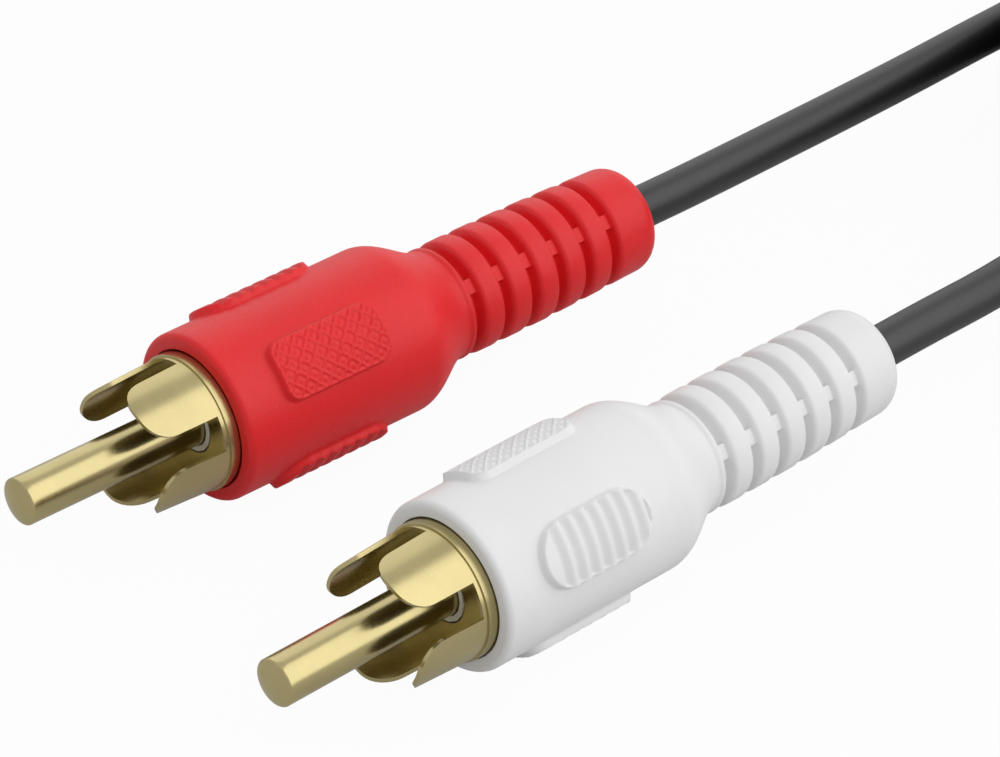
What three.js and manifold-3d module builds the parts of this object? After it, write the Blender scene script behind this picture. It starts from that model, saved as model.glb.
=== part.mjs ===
// A stereo phono audio cable: two coax leads, red and white, each with a moulded phono plug at both ends.
// Millimetres, +Z up. The two near plugs lie on the plane z = 0 with their pins towards -X.
import * as THREE from "three";
import { mergeVertices } from "three/addons/utils/BufferGeometryUtils.js";
import Module from "manifold-3d";

const wasm = await Module();
wasm.setup();

// Sizes along a plug are measured back from the rim of its centre pin.
const pin = { radius: 1.6, domeHeight: 0.35, shoulderAt: 17.2, shankRadius: 1.2, length: 21.4, cupRadius: 0.6, cupDepth: 2.4 };
const shell = {
  frontAt: 7.95, frontRadius: 4.35, rootRadius: 4.56, sheet: 0.28, petals: 4, slotWidth: 2.35, slotEndAt: 12.9,
  petalCorner: 1.9, ringAt: 13.2, ringRadius: 4.68, ringLength: 1.2, floorAt: 13.5, floorThickness: 0.6,
  barrelRadius: 3.6, barrelLength: 4, barrelWall: 0.4, lugLength: 5, lugWidth: 1.4, lugThickness: 0.3, lugInset: 0.05,
};
const insulator = { neckRadius: 2.05, length: 4.2 };
const body = {
  frontAt: 13.95, radius: 5.76, frontFillet: 0.45, shoulderAt: 29.3, neckAt: 34, neckRadius: 3.82,
  endAt: 51.1, wallToMould: 1.45,
};
// The strain relief: its grooves leave rings between them, and small webs bridge the grooves.
const relief = {
  grooveAt: 34.28, grooves: 6, pitch: 2.37, grooveWidth: 0.87, grooveDepth: 0.9, firstRadius: 3.95, lastRadius: 3.69,
  endArcAt: 49, endRadius: 2.24, webs: 2, webWidth: 1.3, webBelow: 0.13,
};
const pad = { frontAt: 17.15, proud: 0.5, rootDepth: 0.4 };
const latticePad = { length: 8.9, width: 4.4, corner: 1.2, pitchAlong: 1.15, pitchRound: 1.16, depth: 0.15 };
const ridgedPad = { length: 9.3, width: 4.65, corner: 2.2, ridges: 8, firstAt: 18.15, pitch: 1.06, depth: 0.25 };
const cable = { radius: 1.475, jacketWall: 0.33, braidWall: 0.16, coreRadius: 0.85, wireRadius: 0.35, layerGap: 0.07 };
const strip = {
  jacketInMould: 1.9, braidAhead: 1, coreBehindPin: 0.6, wireInPin: 1.8, tailRadius: 0.45, tailAfterBarrel: 1.5,
};
const mould = { length: 11.8, channelWidth: 2.6 };
const fitGap = 0.1;
const faceGap = 0.3;

// How many facets the forms get: full on the near plugs, fewer on the far ones, whose grips stay plain.
const fine = { round: 16, inside: 8, arc: 2, corner: 2, shoulder: 5, grips: true };
const coarse = { round: 9, inside: 6, arc: 1, corner: 1, shoulder: 3, grips: false };

// Where the plugs lie: the place of the pin's rim and the heading of the plug's axis, in degrees.
const nearWhite = { x: -0.07, y: -25.32, heading: 2.5 };
const farWhite = { x: 178.8, y: -0.06, heading: 180 };
const farRed = { x: 190.7, y: -12.9, heading: 180 };

// How far each form of a plug is turned about its axis, in degrees up from its -Y side.
const redRolls = { pads: 43.1, petals: 64.5, webs: 43.1 };
const whiteRolls = { pads: -62.6, petals: 68, webs: 29 };

// The coil holds both leads one above the other, in columns side by side.
const coil = { x: 100.8, y: -20.4, turnRadius: 17.7, columns: 4, layers: 4, pitch: 3.1, raise: 0.8, facets: 30 };
const tie = { thickness: 0.5, width: 4 };
const tubeFacets = 4;

const gold = new THREE.MeshStandardMaterial({ color: 0xcdbf86, roughness: 0.25, metalness: 1 });
const copper = new THREE.MeshStandardMaterial({ color: 0xb8734a, roughness: 0.4, metalness: 1 });
const ivory = new THREE.MeshStandardMaterial({ color: 0xe9e3d2, roughness: 0.6 });
const red = new THREE.MeshStandardMaterial({ color: 0xe53234, roughness: 0.5 });
const white = new THREE.MeshStandardMaterial({ color: 0xe8e8ea, roughness: 0.45 });
const black = new THREE.MeshStandardMaterial({ color: 0x1c1c1e, roughness: 0.5 });

// A closed geometry as a solid that can be cut and joined.
function toSolid(geometry) {
  const bare = geometry.clone();
  bare.deleteAttribute("normal");
  bare.deleteAttribute("uv");
  const merged = mergeVertices(bare, 1e-4);
  const triVerts = new Uint32Array(merged.index.array);
  return new wasm.Manifold(
    new wasm.Mesh({ numProp: 3, vertProperties: new Float32Array(merged.attributes.position.array), triVerts }),
  );
}

function toGeometry(solid) {
  const mesh = solid.getMesh();
  const geometry = new THREE.BufferGeometry();
  geometry.setAttribute("position", new THREE.BufferAttribute(new Float32Array(mesh.vertProperties), mesh.numProp));
  geometry.setIndex(new THREE.BufferAttribute(new Uint32Array(mesh.triVerts), 1));
  geometry.computeVertexNormals();
  return geometry;
}

// Turns a profile of [along, radius] points about the plug's axis, which is X.
function revolve(profile, segments) {
  const points = profile.map(([along, radius]) => new THREE.Vector2(radius, along));
  return new THREE.LatheGeometry(points, segments).rotateZ(-Math.PI / 2);
}

// A tube wall from one place to another along X, as a closed profile.
function sleeve(from, to, innerRadius, outerRadius, segments) {
  const profile = [[from, innerRadius], [from, outerRadius], [to, outerRadius], [to, innerRadius], [from, innerRadius]];
  return revolve(profile, segments);
}

// A round bar along X, closed at both ends.
function bar(from, to, radius, segments) {
  return revolve([[from, 0], [from, radius], [to, radius], [to, 0]], segments);
}

// A flat outline in the plane of X and Y, pushed out along +Z between two heights, then rolled about X.
function radialPrism(shape, low, high, rollDegrees, curveSegments) {
  const options = { depth: high - low, bevelEnabled: false, curveSegments };
  const prism = new THREE.ExtrudeGeometry(shape, options).translate(0, 0, low);
  return prism.rotateX(THREE.MathUtils.degToRad(rollDegrees));
}

function arcPoints(centreX, centreR, radius, from, to, steps) {
  const points = [];
  for (let i = 0; i <= steps; i++) {
    const angle = THREE.MathUtils.degToRad(from + ((to - from) * i) / steps);
    points.push([centreX + radius * Math.cos(angle), centreR + radius * Math.sin(angle)]);
  }
  return points;
}

function centrePin(facets) {
  const cupAt = pin.length - pin.cupDepth;
  const domeRadius = (pin.radius ** 2 + pin.domeHeight ** 2) / (2 * pin.domeHeight);
  const rimAngle = THREE.MathUtils.radToDeg(Math.asin(pin.radius / domeRadius));
  const dome = arcPoints(domeRadius - pin.domeHeight, 0, domeRadius, 180, 180 - rimAngle, facets.arc);
  dome[0][1] = 0;
  const profile = [
    ...dome, [pin.shoulderAt, pin.radius], [pin.shoulderAt, pin.shankRadius], [pin.length, pin.shankRadius],
    [pin.length, pin.cupRadius], [cupAt, pin.cupRadius], [cupAt, 0],
  ];
  return revolve(profile, facets.round);
}

// One slot between two petals: open at the front, where it widens round the corners of the petals.
function slotOutline() {
  const half = shell.slotWidth / 2;
  const wide = half + shell.petalCorner;
  const front = shell.frontAt;
  const shape = new THREE.Shape();
  shape.moveTo(shell.slotEndAt, -half);
  shape.lineTo(shell.slotEndAt, half);
  shape.lineTo(front + shell.petalCorner, half);
  shape.absarc(front + shell.petalCorner, wide, shell.petalCorner, -Math.PI / 2, -Math.PI, true);
  shape.lineTo(front - 1, wide);
  shape.lineTo(front - 1, -wide);
  shape.lineTo(front, -wide);
  shape.absarc(front + shell.petalCorner, -wide, shell.petalCorner, Math.PI, Math.PI / 2, true);
  shape.closePath();
  return shape;
}

function slottedShell(petalRoll, facets) {
  const floorBack = shell.floorAt + shell.floorThickness;
  const ringBack = shell.ringAt + shell.ringLength;
  const barrelEnd = ringBack + shell.barrelLength;
  const hole = insulator.neckRadius + fitGap;
  const barrelBore = shell.barrelRadius - shell.barrelWall;
  const profile = [
    [shell.floorAt, hole], [shell.floorAt, shell.rootRadius - shell.sheet],
    [shell.frontAt, shell.frontRadius - shell.sheet], [shell.frontAt, shell.frontRadius],
    [shell.ringAt, shell.rootRadius], [shell.ringAt, shell.ringRadius], [ringBack, shell.ringRadius],
    [ringBack, shell.barrelRadius], [barrelEnd, shell.barrelRadius], [barrelEnd, barrelBore],
    [floorBack, barrelBore], [floorBack, hole], [shell.floorAt, hole],
  ];
  let solid = toSolid(revolve(profile, facets.round));
  const reach = shell.rootRadius + 1;
  for (let i = 0; i < shell.petals; i++) {
    const roll = 90 - petalRoll + (360 / shell.petals) * (i + 0.5);
    solid = solid.subtract(toSolid(radialPrism(slotOutline(), pin.radius, reach, roll, facets.corner)));
  }
  return toGeometry(solid.add(toSolid(solderLug(barrelEnd))));
}

// The tab behind the shell that the lead's braid is soldered to.
function solderLug(barrelEnd) {
  const overlap = 0.5;
  const length = shell.lugLength + overlap;
  const lug = new THREE.BoxGeometry(length, shell.lugWidth, shell.lugThickness);
  return lug.translate(barrelEnd - overlap + length / 2, 0, lugUnderside() + shell.lugThickness / 2);
}

function insulatorBush(facets) {
  const floorBack = shell.floorAt + shell.floorThickness;
  const wide = shell.barrelRadius - shell.barrelWall - fitGap;
  const bore = pin.radius + fitGap;
  const shoulder = floorBack + fitGap;
  const end = shell.floorAt + insulator.length;
  const profile = [
    [shell.floorAt, bore], [shell.floorAt, insulator.neckRadius], [shoulder, insulator.neckRadius],
    [shoulder, wide], [end, wide], [end, bore], [shell.floorAt, bore],
  ];
  return revolve(profile, facets.round);
}

function mouldFrom() {
  return shell.ringAt + shell.ringLength + shell.barrelLength + faceGap;
}

// The first shot of plastic, which holds the soldered joints; its channel clears the lug, wire and braid tail.
function innerMould(facets) {
  const from = mouldFrom();
  const to = from + mould.length;
  const radius = body.radius - body.wallToMould - fitGap;
  const block = toSolid(bar(from, to, radius, facets.round));
  const channelFloor = -(pin.shankRadius + fitGap);
  const channelTop = shell.barrelRadius + faceGap;
  const channelEnd = jacketFrom();
  const channel = new THREE.BoxGeometry(channelEnd - from + 1, mould.channelWidth, channelTop - channelFloor);
  channel.translate((channelEnd + from - 1) / 2, 0, (channelTop + channelFloor) / 2);
  const bore = bar(from - 1, to + 1, cable.radius + fitGap, facets.inside);
  return toGeometry(block.subtract(toSolid(channel)).subtract(toSolid(bore)));
}

// The outside of the moulded body: front fillet, barrel, flowing shoulder, grooved strain relief, rounded end.
function bodyOutside(facets) {
  const fillet = body.frontFillet;
  const profile = arcPoints(body.frontAt + fillet, body.radius - fillet, fillet, 180, 90, facets.arc);
  for (let i = 0; i <= facets.shoulder; i++) {
    const share = i / facets.shoulder;
    const ease = share * share * (3 - 2 * share);
    const along = body.shoulderAt + (body.neckAt - body.shoulderAt) * share;
    profile.push([along, body.radius + (body.neckRadius - body.radius) * ease]);
  }
  for (let i = 0; i < relief.grooves; i++) {
    const from = relief.grooveAt + i * relief.pitch;
    const to = from + relief.grooveWidth;
    profile.push([from, reliefRadius(from)], [from, reliefRadius(from) - relief.grooveDepth]);
    profile.push([to, reliefRadius(to) - relief.grooveDepth], [to, reliefRadius(to)]);
  }
  const endAngle = Math.acos(relief.endRadius / relief.lastRadius);
  const reach = (body.endAt - relief.endArcAt) / Math.sin(endAngle);
  for (let i = 0; i <= facets.arc; i++) {
    const angle = (endAngle * i) / facets.arc;
    profile.push([relief.endArcAt + reach * Math.sin(angle), relief.lastRadius * Math.cos(angle)]);
  }
  return profile;
}

// The rings get smaller towards the lead, slowly at first.
function reliefRadius(along) {
  const share = (along - relief.grooveAt) / (relief.endArcAt - relief.grooveAt);
  return relief.firstRadius + (relief.lastRadius - relief.firstRadius) * share ** 2;
}

function bodyInside() {
  const collar = shell.ringRadius + fitGap;
  const collarEnd = shell.ringAt + shell.ringLength + fitGap;
  const barrel = shell.barrelRadius + fitGap;
  const mouldRadius = body.radius - body.wallToMould;
  const cavityFrom = mouldFrom() - fitGap;
  const cavityTo = mouldFrom() + mould.length + fitGap;
  const bore = cable.radius + fitGap;
  return [
    [body.endAt, bore], [cavityTo, bore], [cavityTo, mouldRadius], [cavityFrom, mouldRadius],
    [cavityFrom, barrel], [collarEnd, barrel], [collarEnd, collar], [body.frontAt, collar],
  ];
}

// A web runs through all the grooves of the strain relief, a little below the rings.
function reliefWeb(roll, facets) {
  const from = relief.grooveAt - fitGap;
  const to = relief.grooveAt + (relief.grooves - 1) * relief.pitch + relief.grooveWidth + fitGap;
  const half = relief.webWidth / 2;
  const shape = new THREE.Shape([
    new THREE.Vector2(from, -half), new THREE.Vector2(to, -half), new THREE.Vector2(to, half), new THREE.Vector2(from, half),
  ]);
  const low = relief.lastRadius - relief.grooveDepth - fitGap * 2;
  const prism = toSolid(radialPrism(shape, low, relief.firstRadius + 1, roll, facets.corner));
  const top = [from, (from + to) / 2, to].map((along) => [along, reliefRadius(along) - relief.webBelow]);
  return prism.intersect(toSolid(revolve([[from, 0], ...top, [to, 0]], facets.round)));
}

// A rectangle with round corners, seen from outside the plug; with wide corners it is an oval.
function padOutline(size) {
  const x0 = pad.frontAt;
  const x1 = pad.frontAt + size.length;
  const half = size.width / 2;
  const c = size.corner;
  const shape = new THREE.Shape();
  shape.moveTo(x0 + c, -half);
  shape.lineTo(x1 - c, -half);
  shape.absarc(x1 - c, -half + c, c, -Math.PI / 2, 0);
  shape.lineTo(x1, half - c);
  shape.absarc(x1 - c, half - c, c, 0, Math.PI / 2);
  shape.lineTo(x0 + c, half);
  shape.absarc(x0 + c, half - c, c, Math.PI / 2, Math.PI);
  shape.lineTo(x0, -half + c);
  shape.absarc(x0 + c, -half + c, c, Math.PI, Math.PI * 1.5);
  return shape;
}

// The block that a lattice pad is cut from. Every second corner of the grid on its top stands higher, and the facets
// join those corners, so thin ridges cross at 45 degrees with a hollow between them.
function latticeBlock(low, top) {
  const stepAlong = latticePad.pitchAlong / 2;
  const stepRound = latticePad.pitchRound / 2;
  const columns = 2 * (Math.ceil(latticePad.length / 2 / stepAlong) + 1);
  const rows = 2 * (Math.ceil(latticePad.width / 2 / stepRound) + 1);
  const middle = pad.frontAt + latticePad.length / 2;
  const positions = [];
  for (const level of [0, 1]) {
    for (let i = 0; i <= columns; i++) {
      for (let j = 0; j <= rows; j++) {
        const angle = ((j - rows / 2) * stepRound) / top;
        const radius = level === 0 ? low : top - ((i + j) % 2) * latticePad.depth;
        positions.push(middle + (i - columns / 2) * stepAlong, radius * Math.sin(angle), radius * Math.cos(angle));
      }
    }
  }
  const at = (level, i, j) => (level * (columns + 1) + i) * (rows + 1) + j;
  const index = [];
  const quad = (a, b, c, d) => index.push(a, b, c, a, c, d);
  for (let i = 0; i < columns; i++) {
    for (let j = 0; j < rows; j++) {
      const corners = [at(1, i, j), at(1, i + 1, j), at(1, i + 1, j + 1), at(1, i, j + 1)];
      if ((i + j) % 2 === 1) corners.push(corners.shift());
      quad(...corners);
      quad(at(0, i, j), at(0, i, j + 1), at(0, i + 1, j + 1), at(0, i + 1, j));
    }
  }
  for (let i = 0; i < columns; i++) {
    quad(at(0, i, 0), at(0, i + 1, 0), at(1, i + 1, 0), at(1, i, 0));
    quad(at(0, i, rows), at(1, i, rows), at(1, i + 1, rows), at(0, i + 1, rows));
  }
  for (let j = 0; j < rows; j++) {
    quad(at(0, 0, j), at(1, 0, j), at(1, 0, j + 1), at(0, 0, j + 1));
    quad(at(0, columns, j), at(0, columns, j + 1), at(1, columns, j + 1), at(1, columns, j));
  }
  const geometry = new THREE.BufferGeometry();
  geometry.setAttribute("position", new THREE.Float32BufferAttribute(positions, 3));
  return geometry.setIndex(index);
}

// The turned form that the tops of the oval pads follow: each ridge rises slowly and drops steeply.
function ridgedBar(top, facets) {
  const to = ridgedPad.firstAt + ridgedPad.ridges * ridgedPad.pitch;
  const profile = [[pad.frontAt - 1, 0], [pad.frontAt - 1, top]];
  for (let i = 0; i < ridgedPad.ridges; i++) {
    const along = ridgedPad.firstAt + i * ridgedPad.pitch;
    profile.push([along, top], [along, top - ridgedPad.depth]);
  }
  profile.push([to, top], [to, 0]);
  return revolve(profile, facets.round);
}

// One grip pad: its outline pushed outwards and cut to the form of its top.
function gripPad(size, roll, facets) {
  const low = body.radius - pad.rootDepth;
  const top = body.radius + pad.proud;
  const prism = toSolid(radialPrism(padOutline(size), low - pad.proud, top + 1, roll, facets.corner));
  let form = bar(pad.frontAt - 1, pad.frontAt + size.length + 1, top, facets.round);
  if (facets.grips && size === ridgedPad) form = ridgedBar(top, facets);
  if (facets.grips && size === latticePad) form = latticeBlock(low - pad.proud, top).rotateX(THREE.MathUtils.degToRad(roll));
  return prism.intersect(toSolid(form));
}

// The moulded body with its grip pads: two rectangular ones opposite each other, two oval ones between them.
function mouldedBody(rolls, facets) {
  const profile = [...bodyOutside(facets), ...bodyInside()];
  profile.push(profile[0]);
  let solid = toSolid(revolve(profile, facets.round));
  for (const [index, size] of [latticePad, ridgedPad, latticePad, ridgedPad].entries()) {
    solid = solid.add(gripPad(size, 90 - rolls.pads + index * 90, facets));
  }
  for (let i = 0; i < relief.webs; i++) {
    solid = solid.add(reliefWeb(90 - rolls.webs + (360 / relief.webs) * i, facets));
  }
  return toGeometry(solid);
}

// The stripped end of the lead: each layer stops short of the one inside it.
function cableLayers(facets) {
  const jacketInner = cable.radius - cable.jacketWall;
  const braidOuter = jacketInner - cable.layerGap;
  const braidInner = braidOuter - cable.braidWall;
  const coreInner = cable.wireRadius + cable.layerGap;
  const end = body.endAt;
  const braidFrom = jacketFrom() - strip.braidAhead;
  const tail = bar(tailFrom(), jacketFrom() - fitGap, strip.tailRadius, facets.inside).translate(0, 0, tailHeight());
  const braid = toSolid(sleeve(braidFrom, end, braidInner, braidOuter, facets.inside));
  const neckLength = strip.braidAhead - fitGap;
  const neckLow = (braidInner + braidOuter) / 2;
  const neck = new THREE.BoxGeometry(neckLength, strip.tailRadius, tailHeight() - neckLow);
  neck.translate(braidFrom + neckLength / 2, 0, (tailHeight() + neckLow) / 2);
  return {
    jacket: sleeve(jacketFrom(), end, jacketInner, cable.radius, facets.inside),
    braid: toGeometry(braid.add(toSolid(tail)).add(toSolid(neck))),
    core: sleeve(pin.length + strip.coreBehindPin, end, coreInner, cable.coreRadius, facets.inside),
    wire: bar(pin.length - strip.wireInPin, end, cable.wireRadius, facets.inside),
  };
}

function jacketFrom() {
  return mouldFrom() + mould.length - strip.jacketInMould;
}

// The braid's tail lies on the inner face of the solder lug.
function tailFrom() {
  return shell.ringAt + shell.ringLength + shell.barrelLength + strip.tailAfterBarrel;
}

function tailHeight() {
  return lugUnderside() - fitGap - strip.tailRadius;
}

function lugUnderside() {
  return shell.barrelRadius - shell.barrelWall - shell.lugInset;
}

function named(name, geometry, material) {
  const mesh = new THREE.Mesh(geometry, material);
  mesh.name = name;
  return mesh;
}

// One whole plug with its axis on X, and the mesh names led by the plug's own name.
function makePlug(name, colour, rolls, facets) {
  const plug = new THREE.Group();
  const layers = cableLayers(facets);
  plug.add(named(name + "_centre_pin", centrePin(facets), gold));
  plug.add(named(name + "_shell", slottedShell(rolls.petals, facets), gold));
  plug.add(named(name + "_insulator", insulatorBush(facets), ivory));
  plug.add(named(name + "_inner_mould", innerMould(facets), ivory));
  plug.add(named(name + "_body", mouldedBody(rolls, facets), colour));
  plug.add(named(name + "_wire", layers.wire, copper));
  plug.add(named(name + "_core", layers.core, ivory));
  plug.add(named(name + "_braid", layers.braid, copper));
  plug.add(named(name + "_jacket", layers.jacket, black));
  return plug;
}

// How high a plug's axis is when the plug lies on the plane z = 0.
function restHeight(plug) {
  return -new THREE.Box3().setFromObject(plug, true).min.z;
}

// Lays a plug down with its pin's rim over the given place.
function layDown(plug, place, height) {
  plug.rotation.z = THREE.MathUtils.degToRad(place.heading);
  plug.position.set(place.x, place.y, height);
  plug.updateMatrixWorld(true);
}

// The point on a plug's axis just clear of its strain relief, where the lead starts.
function leadStart(plug, past = faceGap) {
  return plug.localToWorld(new THREE.Vector3(body.endAt + past, 0, 0));
}

function leadTube(points) {
  const curve = new THREE.CatmullRomCurve3(points);
  const steps = Math.ceil(curve.getLength() / (cable.radius * 4));
  const section = new THREE.Shape();
  section.absarc(0, 0, cable.radius, 0, Math.PI * 2);
  return new THREE.ExtrudeGeometry(section, { steps, extrudePath: curve, curveSegments: tubeFacets });
}

function coilRing() {
  const half = (coil.columns * coil.pitch) / 2;
  const inner = coil.turnRadius - half;
  const outer = coil.turnRadius + half;
  const height = coil.layers * coil.pitch;
  const corners = [[inner, 0], [outer, 0], [outer, height], [inner, height], [inner, 0]];
  const ring = new THREE.LatheGeometry(corners.map(([r, z]) => new THREE.Vector2(r, z)), coil.facets);
  return ring.rotateX(Math.PI / 2).translate(coil.x, coil.y, coil.raise);
}

// A flat tie bent once round the section of the coil, standing on the ground.
function coilTie(angleDegrees) {
  const halfWide = (coil.columns * coil.pitch) / 2 + faceGap;
  const top = coil.raise + coil.layers * coil.pitch + faceGap;
  const t = tie.thickness;
  const outline = new THREE.Shape();
  outline.moveTo(-halfWide - t, 0);
  outline.lineTo(halfWide + t, 0);
  outline.lineTo(halfWide + t, top + t);
  outline.lineTo(-halfWide - t, top + t);
  outline.closePath();
  const hole = new THREE.Path();
  hole.moveTo(-halfWide, t);
  hole.lineTo(-halfWide, top);
  hole.lineTo(halfWide, top);
  hole.lineTo(halfWide, t);
  hole.closePath();
  outline.holes.push(hole);
  const band = new THREE.ExtrudeGeometry(outline, { depth: tie.width, bevelEnabled: false });
  band.translate(0, 0, -tie.width / 2).rotateX(Math.PI / 2).translate(coil.turnRadius, 0, 0);
  return band.rotateZ(THREE.MathUtils.degToRad(angleDegrees)).translate(coil.x, coil.y, 0);
}

const nearRedPlug = makePlug("red_near", red, redRolls, fine);
const nearWhitePlug = makePlug("white_near", white, whiteRolls, fine);
const farRedPlug = makePlug("red_far", red, redRolls, coarse);
const farWhitePlug = makePlug("white_far", white, whiteRolls, coarse);
const redHeight = restHeight(nearRedPlug);
const whiteHeight = restHeight(nearWhitePlug);
layDown(nearRedPlug, { x: 0, y: 0, heading: 0 }, redHeight);
layDown(nearWhitePlug, nearWhite, whiteHeight);
layDown(farRedPlug, farRed, redHeight);
layDown(farWhitePlug, farWhite, whiteHeight);

// Each route runs from a plug to the side of the coil, level with the layer that the lead joins there.
const point = (x, y, z) => new THREE.Vector3(x, y, z);
const redNearRoute = [
  leadStart(nearRedPlug), leadStart(nearRedPlug, 4), point(64, 0.3, 5.7), point(76, 0.9, 5.5), point(87.6, 1.55, 5.45),
];
const whiteNearRoute = [
  leadStart(nearWhitePlug), leadStart(nearWhitePlug, 4), point(64.34, -22.51, 6.2), point(67.65, -21.91, 6.11),
  point(70.78, -20.38, 5.84), point(73.25, -18.19, 5.46), point(75.85, -15.1, 4.88),
];
const whiteFarRoute = [
  leadStart(farWhitePlug), leadStart(farWhitePlug, 3), point(119.8, 1.2, 7.9), point(114, 1.95, 8.55),
];
const redFarRoute = [
  leadStart(farRedPlug), leadStart(farRedPlug, 3), point(134.2, -11.95, 6.4), point(130.16, -9.26, 7.6),
  point(126.4, -5.46, 8.9), point(122.6, -1.67, 10.2), point(118.6, 1.04, 11.2), point(114, 1.95, 11.65),
];

const cableSet = new THREE.Group();
cableSet.add(nearRedPlug, nearWhitePlug, farRedPlug, farWhitePlug);
cableSet.add(named("red_lead_near", leadTube(redNearRoute), black));
cableSet.add(named("white_lead_near", leadTube(whiteNearRoute), black));
cableSet.add(named("red_lead_far", leadTube(redFarRoute), black));
cableSet.add(named("white_lead_far", leadTube(whiteFarRoute), black));
cableSet.add(named("lead_coil", coilRing(), black));
cableSet.add(named("coil_tie_1", coilTie(-30), black));
cableSet.add(named("coil_tie_2", coilTie(210), black));

// The origin is under the middle of the two near plugs.
const nearBox = new THREE.Box3().expandByObject(nearRedPlug, true).expandByObject(nearWhitePlug, true);
cableSet.position.set(-(nearBox.min.x + nearBox.max.x) / 2, -(nearBox.min.y + nearBox.max.y) / 2, 0);
const group = new THREE.Group();
group.add(cableSet);

export default group;
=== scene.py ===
"""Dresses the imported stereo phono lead: two near plugs, their leads, the coil with its ties and the two far plugs."""

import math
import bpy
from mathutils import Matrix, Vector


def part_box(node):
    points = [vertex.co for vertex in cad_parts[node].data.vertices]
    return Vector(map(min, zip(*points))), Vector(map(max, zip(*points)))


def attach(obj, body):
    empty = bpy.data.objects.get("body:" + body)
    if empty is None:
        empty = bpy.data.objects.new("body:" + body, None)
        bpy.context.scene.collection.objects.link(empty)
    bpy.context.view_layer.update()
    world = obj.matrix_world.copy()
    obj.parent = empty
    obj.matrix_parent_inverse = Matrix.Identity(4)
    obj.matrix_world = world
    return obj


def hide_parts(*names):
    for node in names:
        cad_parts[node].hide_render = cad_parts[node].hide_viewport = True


bl_info = {
    "name": "Stereo phono lead",
    "version": (1, 0, 0),
    "blender": (4, 5, 0),
    "location": "View3D > Sidebar > Phono lead",
    "description": "Plugs, leads, coil ties, finishes, camera and stage of a stereo phono lead",
    "category": "Object",
}

import bmesh
import bpy
import numpy as np
from bpy.props import FloatProperty, FloatVectorProperty, PointerProperty
from mathutils import Matrix, Vector

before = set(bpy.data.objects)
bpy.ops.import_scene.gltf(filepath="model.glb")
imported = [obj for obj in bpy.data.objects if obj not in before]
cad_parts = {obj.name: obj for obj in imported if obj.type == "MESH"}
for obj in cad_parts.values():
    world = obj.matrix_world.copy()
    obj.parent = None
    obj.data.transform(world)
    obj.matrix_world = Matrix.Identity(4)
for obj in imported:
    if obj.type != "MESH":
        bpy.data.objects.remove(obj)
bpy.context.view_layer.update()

MM = 0.001
PLUGS = ("red_near", "white_near", "red_far", "white_far")
INSIDE_PARTS = ("insulator", "inner_mould", "wire", "core", "braid", "jacket")

# Stations along a plug's axis in millimetres, counted from the rim of the pin's dome.
PIN = {"radius": 1.6, "dome": 0.35, "shoulder": 17.2, "shank": 1.2, "end": 21.4, "cup": 0.6, "cup_at": 19.0}
SHELL = {
    "front": 7.95, "front_radius": 4.35, "root_radius": 4.56, "sheet": 0.28, "slot_end": 12.9, "slot_width": 2.35,
    "corner": 1.9, "ring_at": 13.2, "ring_radius": 4.68, "ring_back": 14.4, "barrel_radius": 3.6, "barrel_end": 18.4,
    "barrel_bore": 3.2, "floor_at": 13.5, "floor_back": 14.1, "floor_hole": 2.15,
}
BODY = {"front": 13.95, "fillet": 0.45, "shoulder": 29.3, "neck": 34.0, "neck_radius": 3.8, "end": 50.65}
BODY_INSIDE = (
    (50.65, 1.575), (30.6, 1.575), (30.6, 4.31), (18.6, 4.31), (18.6, 3.7), (14.5, 3.7), (14.5, 4.78), (13.95, 4.78),
)
# Where a lead leaves its plug's solid, a little behind the end of the relief's skin.
LEAD_EXIT = 51.1
PAD_MIDDLE = 21.65
RECTANGLE_PAD = {"half_length": 4.45, "half_width": 2.3, "corner": 1.25}
OVAL_PAD = {"half_length": 4.65, "half_width": 2.42, "corner": 2.42}
PAD_WALL = 0.3
LATTICE = {"along": 1.15, "around": 1.16, "shift_along": -0.77, "shift_around": -0.35}
RIDGES = {"first": 18.2, "pitch": 1.06, "count": 8}
# The relief's webs, end and groove walls follow the photograph a little closer than the solids do.
RELIEF = {
    "first": 34.28, "groove": 0.87, "pitch": 2.37, "count": 6, "lip": 0.1, "web_half": 0.58, "web_drop": 0.42,
    "round_from": 49.35, "end_radius": 2.6,
}
RING_STATIONS = ((34.0, 3.9), (36.0, 3.96), (41.0, 3.93), (45.4, 3.83), (47.4, 3.75), (49.0, 3.69))
PLUG_ROLLS = {"red_near": 43.1, "white_near": -62.6, "red_far": 43.1, "white_far": -62.6}
PETAL_ROLLS = {"red_near": 64.5, "white_near": 68.0, "red_far": 64.5, "white_far": 68.0}
WEB_ROLLS = {"red_near": 43.1, "white_near": 29.0, "red_far": 43.1, "white_far": 29.0}

# The leads' routes in metres, the same points as in the part's source.
NEAR_ROUTES = {
    "red": ((0.03866, 0.01272, 0.0057), (0.05066, 0.01332, 0.0055), (0.06226, 0.01397, 0.00545)),
    "white": (
        (0.039, -0.01009, 0.0062), (0.04231, -0.00949, 0.00611), (0.04544, -0.00796, 0.00584),
        (0.04791, -0.00577, 0.00546), (0.05051, -0.00268, 0.00488),
    ),
}
FAR_ROUTES = {
    "red": (
        (0.10886, 0.00047, 0.0064), (0.10482, 0.00316, 0.0076), (0.10106, 0.00696, 0.0089), (0.09726, 0.01075, 0.0102),
        (0.09326, 0.01346, 0.0112), (0.08866, 0.01437, 0.01165),
    ),
    "white": ((0.09446, 0.01362, 0.0079), (0.08866, 0.01437, 0.00855)),
}

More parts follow.
